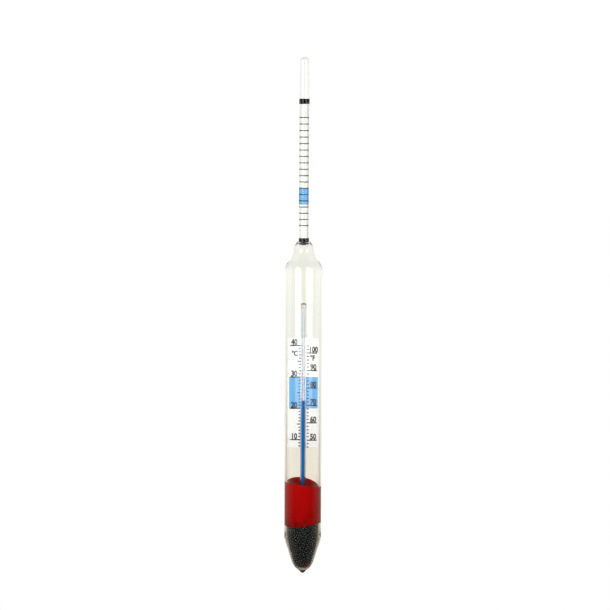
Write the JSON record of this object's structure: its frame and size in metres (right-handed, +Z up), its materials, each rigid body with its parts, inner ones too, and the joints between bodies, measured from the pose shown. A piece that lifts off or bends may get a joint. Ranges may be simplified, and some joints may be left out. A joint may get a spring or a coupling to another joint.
{
  "type": "hydrometer",
  "caption": "Slender sealed glass hydrometer with a paper density scale in its stem and a spirit thermometer, wax plug and shot ballast in its float.",
  "frame": {"origin": "lowest point of the closed glass tip, on the axis", "axes": "+Z up along the axis towards the top of the stem; -Y is the side that the thermometer scale faces; +X is to that reader's right"},
  "size_m": [0.0186, 0.0186, 0.26],
  "materials": {
    "clear_glass": "gloss",
    "capillary_glass": "gloss",
    "scale_paper": "matte",
    "scale_card": "matte",
    "black_cement": "satin",
    "blue_spirit": "gloss",
    "red_wax": "satin",
    "shot": "satin"
  },
  "bodies": {
    "float": {"stem_tube": "clear_glass", "float_body": "clear_glass", "density_scale": "scale_paper", "scale_band_upper": "black_cement", "scale_band_lower": "black_cement", "thermometer_capillary": "capillary_glass", "thermometer_bulb": "capillary_glass", "bulb_spirit": "blue_spirit", "thermometer_scale": "scale_card", "wax_plug": "red_wax", "ballast_shot": "shot"},
    "spirit": {"spirit_thread": "blue_spirit", "spirit_meniscus": "blue_spirit"}
  },
  "joints": [
    {"name": "spirit_rise", "type": "slide", "parent": "float", "child": "spirit", "axis": [0, 0, 1], "range_m": [-0.0234, 0.0269], "deforming": ["spirit_thread"]}
  ]
}
